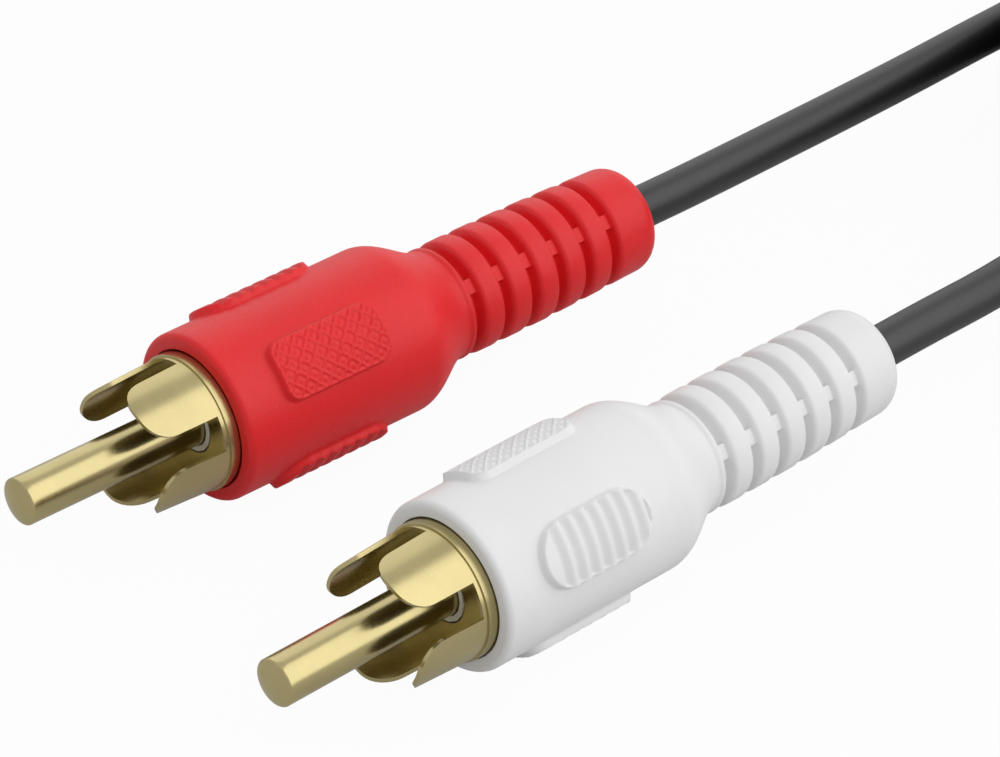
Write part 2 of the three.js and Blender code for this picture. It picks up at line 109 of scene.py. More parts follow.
# The coil in metres: the leads' heights below and above, the outer column's radius, the step between columns, the
# number of columns, the radius at the middle of the turns, and where in a turn the climb between the layers lies. Each
# lead joins the outer turn at its own angle, and the white one still drops a little there.
COIL_LAYERS = {"white": (0.00235, 0.00855), "red": (0.00545, 0.01165)}
COIL_STARTS = {"white": -0.859, "red": 0.0}
COIL_DROPS = {"white": 0.00066, "red": 0.0}
COIL = {"outer": 0.02235, "pitch": 0.0031, "columns": 4, "middle": 0.0177, "climb_from": 1.9, "climb_to": 4.4}


class LeadSizes(bpy.types.PropertyGroup):
    """Sizes of the lead's parts that a user may change."""

    body_radius: FloatProperty(name="Body radius", description="Radius of a plug's moulded body",
                               default=0.00576, min=0.005, max=0.007, subtype="DISTANCE", unit="LENGTH")
    pad_height: FloatProperty(name="Pad height", description="How far the grip pads stand out of the body",
                              default=0.0005, min=0.0, max=0.001, subtype="DISTANCE", unit="LENGTH")
    lattice_height: FloatProperty(name="Lattice height", description="Height of the crossing lines on the pads",
                                  default=0.00011, min=0.0, max=0.0003, subtype="DISTANCE", unit="LENGTH")
    ridge_depth: FloatProperty(name="Ridge depth", description="Depth of the grooves across the oval pads",
                               default=0.00034, min=0.0, max=0.0005, subtype="DISTANCE", unit="LENGTH")
    groove_depth: FloatProperty(name="Groove depth", description="Depth of the grooves of the strain relief",
                                default=0.0009, min=0.0003, max=0.0012, subtype="DISTANCE", unit="LENGTH")
    lead_radius: FloatProperty(name="Lead radius", description="Radius of one lead",
                               default=0.001475, min=0.001, max=0.002, subtype="DISTANCE", unit="LENGTH")
    lead_length: FloatProperty(name="Lead length", description="Whole length of one lead",
                                default=0.9, min=0.5, max=5.0, subtype="DISTANCE", unit="LENGTH")
    view_lens: FloatProperty(name="Lens", description="Focal length of the camera in millimetres",
                             default=216.14, min=50.0, max=400.0)


class LeadColours(bpy.types.PropertyGroup):
    """Colours of the lead's finishes that a user may change."""

    gold: FloatVectorProperty(name="Gold", description="Plating of pins and shells",
                              default=(0.50, 0.425, 0.21), min=0.0, max=1.0, size=3, subtype="COLOR")
    red: FloatVectorProperty(name="Red", description="Red moulded plastic",
                             default=(0.76, 0.014, 0.018), min=0.0, max=1.0, size=3, subtype="COLOR")
    white: FloatVectorProperty(name="White", description="White moulded plastic",
                               default=(0.78, 0.78, 0.785), min=0.0, max=1.0, size=3, subtype="COLOR")
    black: FloatVectorProperty(name="Black", description="Sheath of the leads",
                               default=(0.005, 0.005, 0.0055), min=0.0, max=1.0, size=3, subtype="COLOR")
    ivory: FloatVectorProperty(name="Ivory", description="Insulation inside the plugs",
                               default=(0.78, 0.74, 0.62), min=0.0, max=1.0, size=3, subtype="COLOR")
    copper: FloatVectorProperty(name="Copper", description="Bare wire and braid",
                                default=(0.72, 0.34, 0.20), min=0.0, max=1.0, size=3, subtype="COLOR")


def smooth_step(value):
    """Rises from 0 to 1 as value goes from 0 to 1, level at both ends: 3 v^2 - 2 v^3."""
    v = np.clip(value, 0.0, 1.0)
    return v * v * (3.0 - 2.0 * v)


def plug_place(plug):
    """Origin and directions of a plug, in metres: the pin's dome rim, and along, side and up."""
    def middle(node):
        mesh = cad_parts[node].data
        points = np.empty(len(mesh.vertices) * 3)
        mesh.vertices.foreach_get("co", points)
        points = np.unique(np.round(points.reshape(-1, 3), 7), axis=0)
        return points, points.mean(axis=0)

    pin_points, pin_middle = middle(plug + "_centre_pin")
    jacket_middle = middle(plug + "_jacket")[1]
    along = jacket_middle - pin_middle
    along /= np.linalg.norm(along)
    tip = ((pin_points - pin_middle) @ along).min()
    origin = pin_middle + along * (tip + PIN["dome"] * MM)
    side = np.cross(along, (0.0, 0.0, 1.0))
    side /= np.linalg.norm(side)
    return origin, along, side, np.cross(side, along)


def on_plug(plug, along_mm, radius_mm, angle):
    """Points of a plug's surface: origin + along * x + radius * (side * cos(angle) + up * sin(angle))."""
    origin, along, side, up = plug_place(plug)
    x, r, a = np.broadcast_arrays(along_mm * MM, radius_mm * MM, angle)
    return origin + x[..., None] * along + (r * np.cos(a))[..., None] * side + (r * np.sin(a))[..., None] * up


def grid_faces(index, close_rows, close_columns):
    """Quads of a grid of point numbers, wrapped round where a direction is closed."""
    if close_rows:
        index = np.concatenate([index, index[:1]], axis=0)
    if close_columns:
        index = np.concatenate([index, index[:, :1]], axis=1)
    return np.stack([index[:-1, :-1], index[1:, :-1], index[1:, 1:], index[:-1, 1:]], axis=-1)


def piece_from(name, points, faces, crease_degrees=35.0, merge=False, coordinates=None):
    """A piece at the origin from points and quads, its faces turned outwards by the sign of the volume they enclose."""
    points = np.asarray(points, dtype=float).reshape(-1, 3)
    faces = np.asarray(faces).reshape(-1, 4)
    a, b, c, d = (points[faces[:, i]] for i in range(4))
    volume = np.einsum("ij,ij->i", a, np.cross(b, c)).sum() + np.einsum("ij,ij->i", a, np.cross(c, d)).sum()
    if volume < 0.0:
        faces = faces[:, ::-1]
    mesh = bpy.data.meshes.new(name)
    mesh.from_pydata(points, [], faces)
    if coordinates is not None:
        layer = mesh.attributes.new("plug_place", "FLOAT_VECTOR", "POINT")
        layer.data.foreach_set("vector", np.asarray(coordinates, dtype=float).reshape(-1))
    if merge:
        cleaned = bmesh.new()
        cleaned.from_mesh(mesh)
        bmesh.ops.remove_doubles(cleaned, verts=cleaned.verts, dist=1e-7)
        bmesh.ops.dissolve_degenerate(cleaned, edges=cleaned.edges, dist=1e-7)
        cleaned.to_mesh(mesh)
        cleaned.free()
    mesh.update()
    mesh.shade_smooth()
    mesh.set_sharp_from_angle(angle=math.radians(crease_degrees))
    piece = bpy.data.objects.new(name, mesh)
    bpy.context.scene.collection.objects.link(piece)
    return piece


def turned_piece(name, plug, profile, columns, merge=False):
    """A turned piece: the profile of (along, radius) pairs carried round the plug's axis."""
    x, r = np.array(profile, dtype=float).T
    angle = np.linspace(0.0, 2.0 * math.pi, columns, endpoint=False)
    points = on_plug(plug, x[:, None], r[:, None], angle[None, :])
    index = np.arange(points.shape[0] * columns).reshape(-1, columns)
    along = np.broadcast_to(x[:, None], index.shape)
    place = np.stack([along, np.broadcast_to(r[:, None] * angle, index.shape), np.zeros(index.shape)], axis=-1)
    return piece_from(name, points, grid_faces(index, False, True), merge=merge, coordinates=place)


def round_arc(middle_x, middle_r, radius, first, last, steps):
    """Points of a circle's arc in the plane of along and radius."""
    turn = np.radians(np.linspace(first, last, steps + 1))
    return [(middle_x + radius * math.cos(t), middle_r + radius * math.sin(t)) for t in turn]


def pad_edge_distance(along, around, shape):
    """Distance outside a rectangle with round corners, negative inside; along and around count from its middle."""
    over_x = np.abs(along) - (shape["half_length"] - shape["corner"])
    over_y = np.abs(around) - (shape["half_width"] - shape["corner"])
    outside = np.hypot(np.maximum(over_x, 0.0), np.maximum(over_y, 0.0))
    return outside + np.minimum(np.maximum(over_x, over_y), 0.0) - shape["corner"]


def pad_height(along, around, pad_number, sizes):
    """Height of one grip pad over the body: a rounded step, with crossing lines and domes, or with slanted ridges."""
    rectangle = pad_number % 2 == 0
    distance = pad_edge_distance(along, around, RECTANGLE_PAD if rectangle else OVAL_PAD)
    step = smooth_step(-distance / PAD_WALL)
    height = sizes.pad_height / MM
    inner = smooth_step((-distance - 0.22) / 0.25)
    if rectangle:
        first = (along - LATTICE["shift_along"]) / LATTICE["along"]
        second = (around - LATTICE["shift_around"]) / LATTICE["around"]
        cell = 0.5 * (LATTICE["along"] + LATTICE["around"]) / math.sqrt(2.0)
        rising, falling = first + second, first - second
        rise_off = np.abs(rising - np.round(rising)) * cell
        fall_off = np.abs(falling - np.round(falling)) * cell
        lines = np.maximum(np.exp(-(rise_off / 0.085) ** 2), np.exp(-(fall_off / 0.085) ** 2))
        dome = np.exp(-((0.5 * cell - rise_off) ** 2 + (0.5 * cell - fall_off) ** 2) / 0.17 ** 2)
        relief = sizes.lattice_height / MM
        return height * step - inner * relief * (1.0 - lines - 0.85 * dome)
    place = (along + PAD_MIDDLE - RIDGES["first"]) / RIDGES["pitch"]
    share = place - np.floor(place)
    # A groove drops steeply and then rises slowly to the next ridge.
    groove = np.where(share < 0.2, smooth_step(share / 0.2), 1.0 - smooth_step((share - 0.26) / 0.6))
    groove = np.where((place < 0.0) | (place > RIDGES["count"] - 0.05), 0.0, groove)
    return height * step - sizes.ridge_depth / MM * groove * (0.3 * step + 0.7 * inner)


def ring_radius(along):
    """Outside radius of the strain relief's rings, which narrow slowly and round off at the end as an ellipse does."""
    stations = np.array(RING_STATIONS)
    radius = np.interp(along, stations[:, 0], stations[:, 1])
    share = np.clip((along - RELIEF["round_from"]) / (BODY["end"] - RELIEF["round_from"]), 0.0, 1.0)
    drop = stations[-1, 1] - RELIEF["end_radius"]
    return radius - drop * (1.0 - np.sqrt(1.0 - share ** 2))


def groove_stations(depth):
    """Places and drops along the strain relief: each groove has a steep front wall, a flat floor and a soft back wall."""
    places, drops = [33.9], [0.0]
    steep = (
        (-0.12, 0.0), (-0.05, 0.012), (0.0, 0.06), (0.03, 0.2), (0.06, depth - 0.1), (0.12, depth - 0.02), (0.2, depth),
    )
    soft = (
        (-0.3, 0.0), (-0.2, 0.02), (-0.1, 0.07), (-0.02, 0.15), (0.05, 0.3), (0.12, 0.6 * depth), (0.2, depth - 0.12),
        (0.32, depth),
    )
    for number in range(RELIEF["count"]):
        front = RELIEF["first"] + number * RELIEF["pitch"]
        back = front + RELIEF["groove"]
        places += [front + offset for offset, _ in steep] + [back - offset for offset, _ in reversed(soft)]
        drops += [drop for _, drop in steep] + [drop for _, drop in reversed(soft)]
    return np.array(places + [BODY["end"]]), np.array(drops + [0.0])


def body_radius_at(along, angle, plug, sizes):
    """Radius of the body over along and angle: barrel, S-shaped shoulder, lip, ringed relief with webs, four pads."""
    depth = sizes.groove_depth / MM
    barrel = sizes.body_radius / MM
    fillet = BODY["fillet"]
    front = np.clip((BODY["front"] + fillet - along) / fillet, 0.0, 1.0)
    plain = barrel - fillet * (1.0 - np.sqrt(1.0 - front ** 2))
    share = smooth_step((along - BODY["shoulder"]) / (BODY["neck"] - BODY["shoulder"]))
    plain = plain + (BODY["neck_radius"] - barrel) * share
    plain = plain + RELIEF["lip"] * smooth_step((along - 33.75) / 0.3) * (along < BODY["neck"] + 0.2)
    places, drops = groove_stations(depth)
    web_side = np.abs((angle - math.radians(WEB_ROLLS[plug]) + 0.5 * math.pi) % math.pi - 0.5 * math.pi) * 3.9
    web = RELIEF["web_drop"] + depth * smooth_step((web_side - RELIEF["web_half"]) / 0.14)
    relief = ring_radius(along) - np.minimum(np.interp(along, places, drops), web)
    radius = np.where(along > BODY["neck"] + 0.05, relief, plain)
    for number in range(4):
        middle = math.radians(PLUG_ROLLS[plug] + 90.0 * number)
        around = ((angle - middle + math.pi) % (2.0 * math.pi) - math.pi) * 6.2
        near = (np.abs(around) < 3.0) & (np.abs(along - PAD_MIDDLE) < 5.0)
        radius = radius + np.where(near, pad_height(along - PAD_MIDDLE, around, number, sizes), 0.0)
    return radius


def body_piece(plug, sizes, fine):
    """The body as one closed grid: rows run from the front face over the outside to the end and back inside."""
    pad_step = 0.075 if fine else 0.15
    places = groove_stations(sizes.groove_depth / MM)[0]
    front = BODY["front"] + BODY["fillet"] * (1.0 - np.cos(np.radians(np.linspace(0.0, 90.0, 7))))
    pads = np.arange(PAD_MIDDLE - 4.75, PAD_MIDDLE + 4.75, pad_step)
    rest = [np.linspace(14.7, 16.6, 4), pads, np.linspace(26.7, 29.2, 4), np.linspace(29.3, 33.7, 19 if fine else 12)]
    lip = np.linspace(33.8, 34.05, 4)
    relief = places[(places > 34.1) & (places < 49.0)]
    turn = np.radians(np.linspace(0.0, 90.0, 13))
    tail = RELIEF["round_from"] + (BODY["end"] - RELIEF["round_from"]) * np.sin(turn)
    x = np.unique(np.round(np.concatenate([front, *rest, lip, relief, (48.2,), tail]), 4))
    columns = []
    for number in range(4):
        middle = PLUG_ROLLS[plug] + 90.0 * number
        columns.append(np.arange(middle - 24.0, middle + 24.0, 0.72 if fine else 1.5))
        columns.append(np.linspace(middle + 25.0, middle + 64.0, 7))
    angle = np.radians(np.concatenate(columns))
    outside = body_radius_at(x[:, None], angle[None, :], plug, sizes)
    inside = np.array(BODY_INSIDE)
    along = np.concatenate([x, inside[:, 0]])
    radius = np.concatenate([outside, np.repeat(inside[:, 1:], len(angle), axis=1)])
    points = on_plug(plug, along[:, None], radius, angle[None, :])
    index = np.arange(radius.size).reshape(radius.shape)
    place = np.stack([np.broadcast_to(along[:, None], radius.shape), radius * angle, radius], axis=-1)
    return piece_from(plug + "_body_skin", points, grid_faces(index, True, True), 50.0, coordinates=place)


def pin_piece(plug, fine):
    """The centre pin as a turned profile: shallow dome, crisp rim, straight contact, stepped shank with its cup."""
    dome_radius = (PIN["radius"] ** 2 + PIN["dome"] ** 2) / (2.0 * PIN["dome"])
    rim = math.degrees(math.asin((PIN["radius"] - 0.05) / dome_radius))
    dome = round_arc(dome_radius - PIN["dome"], 0.0, dome_radius, 180.0, 180.0 - rim, 10)
    dome[0] = (-PIN["dome"], 0.0)
    edge = round_arc(0.06, PIN["radius"] - 0.05, 0.05, 165.0, 90.0, 3)
    straight = [(x, PIN["radius"]) for x in np.linspace(0.5, PIN["shoulder"], 12)]
    end, cup = PIN["end"], PIN["cup"]
    rear = [(PIN["shoulder"], PIN["shank"]), (end, PIN["shank"])]
    rear += [(end, cup), (PIN["cup_at"], cup), (PIN["cup_at"], 0.0)]
    return turned_piece(plug + "_pin_turned", plug, dome + edge + straight + rear, 96 if fine else 48, merge=True)


def shell_piece(plug, fine):
    """The sprung shell as one sheet: rows run down the outside of the petals, round the ring and barrel, and back
    up the inside. Columns follow the petals' sides, which draw in round the front corners as a circle does, and the
    cells between the petals are left open and walled."""
    s = SHELL
    steps = 9 if fine else 5
    turn = np.radians(np.linspace(0.0, 90.0, steps))
    rows = np.concatenate([s["front"] + s["corner"] * (1.0 - np.cos(turn)), np.linspace(10.4, s["slot_end"], 7)])
    petal_rows = len(rows)
    share = (rows - s["front"]) / (s["ring_at"] - s["front"])
    cone = s["front_radius"] + (s["root_radius"] - s["front_radius"]) * share
    ring = [
        (s["ring_at"], s["root_radius"]), (s["ring_at"] + 0.02, s["ring_radius"]), (s["ring_back"], s["ring_radius"]),
        (s["ring_back"], s["barrel_radius"]), (s["barrel_end"], s["barrel_radius"]),
        (s["barrel_end"], s["barrel_bore"]),
        (s["floor_back"], s["barrel_bore"]), (s["floor_back"], s["floor_hole"]), (s["floor_at"], s["floor_hole"]),
        (s["floor_at"], s["root_radius"] - s["sheet"]),
    ]
    along = np.concatenate([rows, [x for x, _ in ring], rows[::-1]])
    radius = np.concatenate([cone, [r for _, r in ring], cone[::-1] - s["sheet"]])
    half_sector = math.pi / 4.0
    half_petal = half_sector - 0.5 * s["slot_width"] / s["front_radius"]
    reach = np.clip((s["front"] + s["corner"] - rows) / s["corner"], 0.0, 1.0)
    narrowing = s["corner"] * (1.0 - np.sqrt(1.0 - reach ** 2)) / s["front_radius"]
    half = np.concatenate([half_petal - narrowing, np.full(len(ring), half_petal), (half_petal - narrowing)[::-1]])
    across = np.linspace(-1.0, 1.0, 17 if fine else 9)
    between = np.linspace(0.0, 1.0, 7 if fine else 5)[1:-1]
    petal = half[:, None] * across[None, :]
    gap = half[:, None] + (2.0 * half_sector - 2.0 * half[:, None]) * between[None, :]
    sector = np.concatenate([petal, gap], axis=1)
    angle = np.concatenate([sector + 2.0 * half_sector * k for k in range(4)], axis=1)
    angle = angle + math.radians(PETAL_ROLLS[plug])
    points = on_plug(plug, along[:, None], radius[:, None], angle)
    count_rows, count_columns = angle.shape
    index = np.arange(angle.size).reshape(angle.shape)
    faces = grid_faces(index, True, True)
    open_cell = np.zeros(faces.shape[:2], dtype=bool)
    in_gap = np.tile(np.arange(sector.shape[1]) >= len(across) - 1, 4)
    last = count_rows - 1
    for row in range(petal_rows - 1):
        open_cell[row, in_gap] = True
        open_cell[last - 1 - row, in_gap] = True
    open_cell[last, in_gap] = True
    kept = [faces[~open_cell]]
    outer = index[:petal_rows]
    inner = index[::-1][:petal_rows]
    width = sector.shape[1]
    for k in range(4):
        right, left = k * width + len(across) - 1, ((k + 1) * width) % count_columns
        for column, sign in ((right, 1), (left, -1)):
            wall = np.stack([outer[:-1, column], inner[:-1, column], inner[1:, column], outer[1:, column]], axis=-1)
            kept.append(wall if sign > 0 else wall[:, ::-1])
        gap_columns = [(right + i) % count_columns for i in range(len(between) + 2)]
        a, b = outer[-1, gap_columns], inner[-1, gap_columns]
        kept.append(np.stack([a[:-1], b[:-1], b[1:], a[1:]], axis=-1))
    flat = np.zeros(angle.shape)
    place = np.stack([np.broadcast_to(along[:, None], angle.shape), radius[:, None] * angle, flat], axis=-1)
    faces = np.concatenate(kept)
    piece = piece_from(plug + "_shell_sheet", points, faces, 30.0, coordinates=place)
    recalculate_outwards(piece.data)
    bevel = piece.modifiers.new("Sheet edge", "BEVEL")
    bevel.width = 0.05 * MM
    bevel.segments = 2
    bevel.limit_method = "ANGLE"
    bevel.angle_limit = math.radians(45.0)
    bevel.harden_normals = True
    return piece


def recalculate_outwards(mesh):
    """Turns the faces of a closed mesh outwards after its loose points are dropped."""
    cleaned = bmesh.new()
    cleaned.from_mesh(mesh)
    loose = [vertex for vertex in cleaned.verts if not vertex.link_faces]
    bmesh.ops.delete(cleaned, geom=loose, context="VERTS")
    bmesh.ops.recalc_face_normals(cleaned, faces=cleaned.faces)
    cleaned.to_mesh(mesh)
    cleaned.free()
    mesh.update()
    mesh.shade_smooth()
    mesh.set_sharp_from_angle(angle=math.radians(30.0))


def coil_points(colour):
    """One lead's turns, clockwise from the far side: on the lower layer the radius shrinks by a column late in each
    turn, the innermost turn climbs in its middle, and on the upper layer the radius grows by a column early in each
    turn, so that no turn crosses another."""
    low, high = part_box("lead_coil")
    middle = (np.array(low) + np.array(high)) / 2.0
    layers, start = COIL_LAYERS[colour], COIL_STARTS[colour]
    inner = COIL["columns"] - 1
    turns = 2 * inner + 1
    theta = np.linspace(start, turns * 2.0 * math.pi, turns * 24 + 1)
    number = np.clip(np.floor(theta / (2.0 * math.pi) + 1e-9), 0, turns - 1)
    within = theta - number * 2.0 * math.pi
    late = smooth_step((within - COIL["climb_to"]) / (2.0 * math.pi - COIL["climb_to"]))
    early = smooth_step(within / COIL["climb_from"])
    inwards = np.where(number < inner, number + late, inner)
    outwards = np.where(number > inner, number - inner - 1 + early, 0.0)
    radius = COIL["outer"] - COIL["pitch"] * (inwards - outwards)
    climb = smooth_step((within - COIL["climb_from"]) / (COIL["climb_to"] - COIL["climb_from"]))
    climb = np.where(number < inner, 0.0, np.where(number > inner, 1.0, climb))
    drop = COIL_DROPS[colour] * np.clip(1.0 - (theta - start) / 0.4725, 0.0, 1.0) ** 2
    height = layers[0] + (layers[1] - layers[0]) * climb + drop
    angle = 0.5 * math.pi - theta
    return np.stack([middle[0] + radius * np.cos(angle), middle[1] + radius * np.sin(angle), height], axis=-1)


def lead_route(colour):
    """Points of one lead: out of the near plug along its axis, route, coil, route back, and into the far plug."""
    def axis_points(plug, stations):
        return on_plug(plug, np.array(stations), np.zeros(len(stations)), np.zeros(len(stations)))

    near = axis_points(colour + "_near", (50.9, 51.4, 53.4, 55.4))
    far = axis_points(colour + "_far", (54.4, 51.4, 50.9))
    return np.concatenate([near, NEAR_ROUTES[colour], coil_points(colour), FAR_ROUTES[colour][::-1], far])


def lead_piece(colour, radius):
    """A lead as one round curve through its route, with smooth handles at each point."""
    curve = bpy.data.curves.new(colour + "_lead", "CURVE")
    curve.dimensions = "3D"
    curve.bevel_depth = radius
    curve.bevel_resolution = 5
    curve.resolution_u = 5
    curve.use_fill_caps = True
    route = lead_route(colour)
    spline = curve.splines.new("BEZIER")
    spline.bezier_points.add(len(route) - 1)
    spline.bezier_points.foreach_set("co", route.reshape(-1))
    for point in spline.bezier_points:
        point.handle_left_type = "AUTO"
        point.handle_right_type = "AUTO"
    piece = bpy.data.objects.new(colour + "_lead", curve)
    bpy.context.scene.collection.objects.link(piece)
    return piece


def tie_piece(node):
    """A tie as a closed strap: a rounded section with a wire down its middle, carried round a rounded rectangle."""
    low, high = (np.array(corner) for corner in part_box(node))
    coil_low, coil_high = (np.array(corner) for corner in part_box("lead_coil"))
    coil_middle = (coil_low + coil_high) / 2.0
    outwards = (low + high) / 2.0 - coil_middle
    outwards[2] = 0.0
    outwards /= np.linalg.norm(outwards)
    across = np.array((-outwards[1], outwards[0], 0.0))
    half_width = 0.5 * COIL["columns"] * COIL["pitch"] + 0.00055
    half_height = (high[2] - low[2]) / 2.0 - 0.00025
    middle = coil_middle + outwards * COIL["middle"]
    middle[2] = (low[2] + high[2]) / 2.0
    turn = np.linspace(0.0, 2.0 * math.pi, 72, endpoint=False)
    squareness = 0.32
    run_x = np.sign(np.cos(turn)) * np.abs(np.cos(turn)) ** squareness * half_width
    run_z = np.sign(np.sin(turn)) * np.abs(np.sin(turn)) ** squareness * half_height
    tangent = np.stack([np.roll(run_x, -1) - np.roll(run_x, 1), np.roll(run_z, -1) - np.roll(run_z, 1)], axis=-1)
    tangent /= np.linalg.norm(tangent, axis=1)[:, None]
    normal = np.stack([tangent[:, 1], -tangent[:, 0]], axis=-1)
    around = np.linspace(0.0, 2.0 * math.pi, 28, endpoint=False)
    wide = np.sign(np.cos(around)) * np.abs(np.cos(around)) ** 0.5 * 0.0019
    strength = 0.00013 + 0.00012 * np.exp(-(wide / 0.0005) ** 2)
    thick = np.sign(np.sin(around)) * np.abs(np.sin(around)) ** 0.5 * strength
    x = run_x[:, None] + normal[:, :1] * thick[None, :]
    z = run_z[:, None] + normal[:, 1:] * thick[None, :]
    points = middle + x[..., None] * outwards + np.broadcast_to(wide, x.shape)[..., None] * across
    points[..., 2] += z
    index = np.arange(x.size).reshape(x.shape)
    return piece_from(node + "_strap", points, grid_faces(index, True, True), 60.0)


def new_node(tree, kind, **values):
    """Adds a node and sets its plain values."""
    node = tree.nodes.new(kind)
    for name, value in values.items():
        setattr(node, name, value)
    return node


def effect_group(name, inputs, output_names):
    """An empty shader node group with named value inputs and outputs, and its two end nodes."""
    tree = bpy.data.node_groups.new(name, "ShaderNodeTree")
    for label, default in inputs:
        socket = tree.interface.new_socket(name=label, in_out="INPUT", socket_type="NodeSocketFloat")
        socket.default_value = default
    for label in output_names:
        tree.interface.new_socket(name=label, in_out="OUTPUT", socket_type="NodeSocketFloat")
    return tree, tree.nodes.new("NodeGroupInput"), tree.nodes.new("NodeGroupOutput")


def moulded_grain():
    """Fine grain of a moulded or drawn surface from one noise, for height, and a slow cloud from a second noise of
    unlike size.
    """
    if "Moulded grain" in bpy.data.node_groups:
        return bpy.data.node_groups["Moulded grain"]
    scales = (("Grain Scale", 9000.0), ("Cloud Scale", 180.0))
    tree, source, end = effect_group("Moulded grain", scales, ("Grain", "Cloud"))
    place = tree.nodes.new("ShaderNodeTexCoord")
    fine = new_node(tree, "ShaderNodeTexNoise")
    fine.inputs["Detail"].default_value = 3.0
    fine.inputs["Roughness"].default_value = 0.62
    cloud = new_node(tree, "ShaderNodeTexNoise")
    cloud.inputs["Detail"].default_value = 4.0
    links = tree.links
    links.new(place.outputs["Object"], fine.inputs["Vector"])
    links.new(place.outputs["Object"], cloud.inputs["Vector"])
    links.new(source.outputs["Grain Scale"], fine.inputs["Scale"])
    links.new(source.outputs["Cloud Scale"], cloud.inputs["Scale"])
    links.new(fine.outputs["Fac"], end.inputs["Grain"])
    links.new(cloud.outputs["Fac"], end.inputs["Cloud"])
    return tree


def tooling_lines():
    """Fine lines left by turning or drawing: a noise stretched round the plug's axis, read from the own places."""
    if "Tooling lines" in bpy.data.node_groups:
        return bpy.data.node_groups["Tooling lines"]
    tree, source, end = effect_group("Tooling lines", (("Line Scale", 9.0),), ("Line",))
    place = new_node(tree, "ShaderNodeAttribute", attribute_name="plug_place")
    stretch = tree.nodes.new("ShaderNodeMapping")
    stretch.inputs["Scale"].default_value = (1.0, 0.03, 0.03)
    noise = new_node(tree, "ShaderNodeTexNoise")
    noise.inputs["Detail"].default_value = 2.0
    tree.links.new(place.outputs["Vector"], stretch.inputs["Vector"])
    tree.links.new(stretch.outputs["Vector"], noise.inputs["Vector"])
    tree.links.new(source.outputs["Line Scale"], noise.inputs["Scale"])
    tree.links.new(noise.outputs["Fac"], end.inputs["Line"])
    return tree


def place_group(tree, group, **values):
    """Places a node group in a material with its own values."""
    node = tree.nodes.new("ShaderNodeGroup")
    node.node_tree = group
    for label, value in values.items():
        node.inputs[label.replace("_", " ")].default_value = value
    return node


def shaded(colour, factor):
    """A colour made darker or lighter by a factor."""
    return tuple(min(1.0, channel * factor) for channel in colour) + (1.0,)


def spread_value(tree, source, low, high, source_low=0.3, source_high=0.7):
    """Spreads a mask over a range of values."""
    spread = tree.nodes.new("ShaderNodeMapRange")
    spread.inputs["From Min"].default_value = source_low
    spread.inputs["From Max"].default_value = source_high
    spread.inputs["To Min"].default_value = low
    spread.inputs["To Max"].default_value = high
    tree.links.new(source, spread.inputs["Value"])
    return spread.outputs["Result"]


def finish(name, colour, metallic=0.0, roughness=(0.4, 0.5), grain_scale=9000.0, grain_height=0.00001,
           cloud_scale=180.0, shade=(0.96, 1.03), lines=False, specular=0.5):
    """A finish with slow colour cloud, fine grain in its bump and roughness, and tooling lines where asked."""
    if name in bpy.data.materials:
        return bpy.data.materials[name]
    material = bpy.data.materials.new(name)
    material.use_nodes = True
    material.diffuse_color = tuple(colour) + (1.0,)
    tree = material.node_tree
    shader = tree.nodes["Principled BSDF"]
    shader.inputs["Metallic"].default_value = metallic
    shader.inputs["Specular IOR Level"].default_value = specular
    grain = place_group(tree, moulded_grain(), Grain_Scale=grain_scale, Cloud_Scale=cloud_scale)
    mix = new_node(tree, "ShaderNodeMix", data_type="RGBA")
    mix.inputs["A"].default_value = shaded(colour, shade[0])
    mix.inputs["B"].default_value = shaded(colour, shade[1])
    tree.links.new(spread_value(tree, grain.outputs["Cloud"], 0.0, 1.0), mix.inputs["Factor"])
    tree.links.new(mix.outputs["Result"], shader.inputs["Base Color"])
    mask = grain.outputs["Grain"]
    if lines:
        drawn = place_group(tree, tooling_lines(), Line_Scale=9.0)
        add = new_node(tree, "ShaderNodeMath", operation="MULTIPLY_ADD")
        add.inputs[1].default_value = 0.5
        tree.links.new(drawn.outputs["Line"], add.inputs[0])
        half = new_node(tree, "ShaderNodeMath", operation="MULTIPLY")
        half.inputs[1].default_value = 0.5
        tree.links.new(grain.outputs["Grain"], half.inputs[0])
        tree.links.new(half.outputs["Value"], add.inputs[2])
        mask = add.outputs["Value"]
    tree.links.new(spread_value(tree, mask, roughness[0], roughness[1]), shader.inputs["Roughness"])
    bump = tree.nodes.new("ShaderNodeBump")
    bump.inputs["Strength"].default_value = 1.0
    bump.inputs["Distance"].default_value = grain_height
    tree.links.new(mask, bump.inputs["Height"])
    tree.links.new(bump.outputs["Normal"], shader.inputs["Normal"])
    return material


def lead_finishes():
    """The finishes of the lead by the record's slot names."""
    colours = bpy.context.scene.lead_colours
    return {
        "gold_plate": finish("Gold plate", colours.gold, 1.0, (0.2, 0.28), 5000.0, 0.0000012, 260.0, (0.93, 1.04),
                             lines=True),
        "red_pvc": finish("Red moulded plastic", colours.red, 0.0, (0.36, 0.5), 7000.0, 0.000022, 160.0, (0.95, 1.03),
                          specular=0.35),
        "white_pvc": finish("White moulded plastic", colours.white, 0.0, (0.42, 0.5), 5000.0, 0.000004, 140.0,
                            (0.97, 1.02), specular=0.3),
        "ivory_polythene": finish("Ivory insulation", colours.ivory, 0.0, (0.45, 0.55), 6000.0, 0.000004),
        "copper": finish("Bare copper", colours.copper, 1.0, (0.3, 0.45), 6000.0, 0.000006),
        "black_pvc": finish("Black lead sheath", colours.black, 0.0, (0.4, 0.5), 6000.0, 0.000006, 120.0, (0.85, 1.15),
                            specular=0.75),
        "tie_plastic": finish("Tie plastic", colours.black, 0.0, (0.3, 0.42), 4000.0, 0.000003, 200.0, (0.9, 1.2)),
    }


